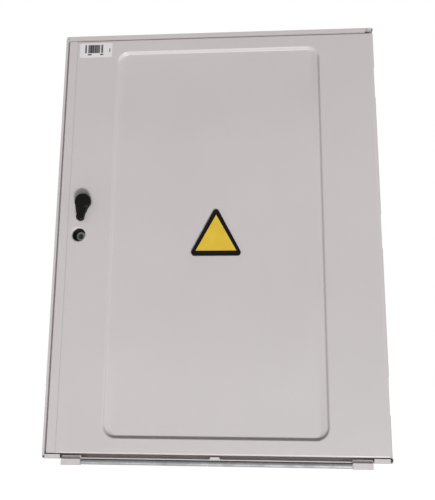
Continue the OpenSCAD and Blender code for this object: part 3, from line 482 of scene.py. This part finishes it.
# The drawn panel's ends step back more steeply than its sides, with rounded corners between.
# The coat's relief adds to the end walls, runs out softly at the sides, and fades to the middle.
panel_half_w = 0.1976
panel_half_h = 0.3657
panel_middle = -0.0004
panel_corner = 0.026
end_run = 0.0069
side_run = 0.02
wall_relief = 0.0025
fade_length = 0.16
never_zero = 0.000001
door_coat = powder_coat("door_powder_coat", grey_paint)
past_side = door_coat.axis("X").size() - (panel_half_w - panel_corner)
past_end = (door_coat.axis("Z") - panel_middle).size() - (panel_half_h - panel_corner)
faded = past_end.node("MapRange", {"interpolation_type": "SMOOTHSTEP"},
                      {"Value": past_end, "From Min": -fade_length, "From Max": 0.0})
past_side = past_side.math("MAXIMUM", past_side, 0.0)
past_end = past_end.math("MAXIMUM", past_end, 0.0)
square = past_side * past_side + past_end * past_end
inward = panel_corner - square.math("SQRT", square)
side_share = square.math("DIVIDE", past_side * past_side, square + never_zero)
run = end_run + side_share * (side_run - end_run)
step = {"Value": inward.math("DIVIDE", inward, run), "To Max": -wall_relief}
wall = inward.node("MapRange", {"interpolation_type": "SMOOTHSTEP"}, step)
relief = {"Height": wall * faded, "Strength": 1.0, "Distance": 1.0, "Normal": door_coat.grain}
drawn = wall.node("Bump", {}, relief)
door_coat.feed("Normal", drawn)
dress(door_coat, "door_skin")
dress(shell_coat, "door_stiffener")
dress(rubber("foamed_seal", srgb(30, 30, 31), 1600.0), "door_gasket")


# Plaque and label
# A black moulded triangle glued into the drawn panel, with a plain yellow film in it.
# Above the handle a white paper label is stuck on, with plain bars and no words.

plaque_plastic = moulded_plastic("plaque_plastic", srgb(12, 9, 8), 0.4,
                                 grain=900.0, relief=0.0002, specular=0.1)
dress(plaque_plastic, "plaque_back")
film = Finish("yellow_film", specular=0.5)
fade = film.place.noise(30.0, 3.0)
film.feed("Base Color", fade.ramp(0.3, 0.7).pick(srgb(212, 178, 48), srgb(222, 188, 58)))
film.feed("Roughness", 0.34 + film.place.noise(260.0) * 0.14)
film.feed("Normal", film.place.noise(480.0, 2.0).bump(0.08, 0.0003))
dress(film, "plaque_face")

# The print's places across the label and up it, from its lower left corner.
guard_spans = ((0.01, 0.0135), (0.042, 0.046))
bar_span = (0.016, 0.04)
bar_rise = (0.0085, 0.0262)
block_spans = ((0.0155, 0.0235), (0.04, 0.0465))
block_rise = (0.004, 0.007)
tick_span = (0.0583, 0.0605)
tick_rise = (0.0105, 0.018)
bars_per_metre = 1400.0
pale_share = 0.45
pale_bar = 0.74
guard_ink = 0.85
small_ink = 0.9
label_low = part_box("door_label")[0]
paper = Finish("label_paper", specular=0.35)
across = paper.axis("X") - label_low.x
up = paper.axis("Z") - label_low.z
steps = (across * bars_per_metre).floor()
dark_step = steps.node("TexWhiteNoise", {"noise_dimensions": "1D"}, {"W": steps}, "Value") > pale_share
guards = across.between(*guard_spans[0]) + across.between(*guard_spans[1])
close_bars = across.between(*bar_span) * (pale_bar + dark_step * (1 - pale_bar))
bars = (guards * guard_ink + close_bars) * up.between(*bar_rise)
blocks = (across.between(*block_spans[0]) + across.between(*block_spans[1])) * up.between(*block_rise)
tick = across.between(*tick_span) * up.between(*tick_rise)
printed = bars + (blocks + tick) * small_ink
paper.feed("Base Color", printed.pick(srgb(226, 221, 224), srgb(24, 22, 25)))
paper.feed("Roughness", 0.5 + paper.place.noise(300.0) * 0.15)
paper.feed("Normal", paper.place.noise(700.0, 2.0).bump(0.06, 0.0002))
dress(paper, "door_label")


# Handle and latch
# A black moulded lever on a steel shaft turns a plated cam behind the door;
# the cam swings its own tongue and drives two flat rods through plastic guides.

dress(black_lever, "handle_lever", "handle_bush", "rod_guides")
dress(turned_steel, "handle_shaft")
dress(zinc_plate("latch_plating", srgb(190, 188, 178)), "latch_cam", "upper_rod", "lower_rod", "lock_cam")
dress(zinc_screws, "bush_nut", "cam_screw", "lock_cam_screw")


# Lock
# A black moulded cup behind the flanged hole holds a steel key barrel deep inside;
# its plug turns a small cam behind the rim.

dress(moulded_plastic("cup_plastic", srgb(20, 20, 20), 0.5), "lock_cup")
dress(zinc_plate("barrel_steel", srgb(150, 150, 152), 0.3), "lock_barrel")
dress(zinc_plate("plug_steel", srgb(96, 96, 98), 0.4), "lock_plug")


# Floor, light and camera
# A white floor under the cabinet, lit from low on the right, from below the camera and from behind.
# The camera stands low and a little to the right of the middle.

def sees_background(start):
    """One for rays of the camera, and for those that metal or glass send on; else zero."""
    shown = start.node("LightPath", {}, {}, "Is Camera Ray")
    for kind in ("Is Glossy Ray", "Is Transmission Ray"):
        shown = start.math("MAXIMUM", shown, start.node("LightPath", {}, {}, kind))
    return shown


floor_size = 12.0
floor_drop = 0.0005
# Half of what the camera sees of the floor is its lit paint, which keeps the shadow.
glow_share = 0.5
floor_glow = 1.8
bpy.ops.mesh.primitive_plane_add(size=floor_size, location=(0, 0, solid_box[0].z - floor_drop))
floor = bpy.context.object
floor.name = "floor"
# The low lights shine up through the floor.
floor.visible_shadow = False
floor_paint = Finish("floor_paint", specular=0.1)
cloud = floor_paint.place.noise(4.0)
floor_paint.feed("Base Color", cloud.pick(srgb(244, 244, 244), srgb(247, 247, 247)))
floor_paint.shader.inputs["Roughness"].default_value = 0.9
seen = sees_background(floor_paint.place)
glow = floor_paint.place.node("Emission", {}, {"Color": (1, 1, 1, 1), "Strength": floor_glow})
plain = Shade(floor_paint.tree, floor_paint.shader.outputs[0])
mixed = floor_paint.place.node("MixShader", {}, {0: seen * glow_share, 1: plain, 2: glow})
floor_paint.tree.links.new(mixed.socket, floor_paint.tree.nodes["Material Output"].inputs["Surface"])
floor.data.materials.append(floor_paint.material)

world = bpy.data.worlds.new("studio")
bpy.context.scene.world = world
world.use_nodes = True
sky = Shade(world.node_tree)
shown = sees_background(sky)
soft_level = 0.14
level = soft_level + shown * (1.0 - soft_level)
background = world.node_tree.nodes["Background"]
background.inputs["Color"].default_value = (1, 1, 1, 1)
world.node_tree.links.new(level.socket, background.inputs["Strength"])


def far_lamp(name, strength, spread, toward, tint=(1.0, 1.0, 1.0)):
    """Even light from far off in one direction, softened over an angle in degrees."""
    lamp = bpy.data.lights.new(name, "SUN")
    lamp.energy = strength
    lamp.color = tint
    lamp.angle = math.radians(spread)
    stand = bpy.data.objects.new(name, lamp)
    stand.rotation_euler = Vector(toward).to_track_quat("Z", "Y").to_euler()
    bpy.context.scene.collection.objects.link(stand)


far_lamp("low_light", strength=2.2, spread=9.0, toward=(0.29, -0.69, -0.66), tint=(1.0, 0.98, 0.94))
far_lamp("back_light", strength=2.6, spread=60.0, toward=(-0.35, 0.88, 0.3))
near_panel = bpy.data.lights.new("front_light", "AREA")
near_panel.energy = 24.0
near_panel.color = (0.93, 0.99, 1.06)
near_panel.size = 1.4
panel_stand = bpy.data.objects.new("front_light", near_panel)
panel_stand.location = (0.4, -2.2, -1.6)
panel_stand.rotation_euler = panel_stand.location.to_track_quat("Z", "Y").to_euler()
bpy.context.scene.collection.objects.link(panel_stand)

lens = bpy.data.cameras.new("photo_camera")
lens.sensor_width = 36.0
lens.lens = 44.18
camera = bpy.data.objects.new("photo_camera", lens)
camera.location = (0.07733, -1.28924, -0.25483)
camera.rotation_euler = [math.radians(angle) for angle in (101.43, -0.3754, 3.829)]
bpy.context.scene.collection.objects.link(camera)
bpy.context.scene.camera = camera
bpy.context.scene.view_settings.view_transform = "Standard"
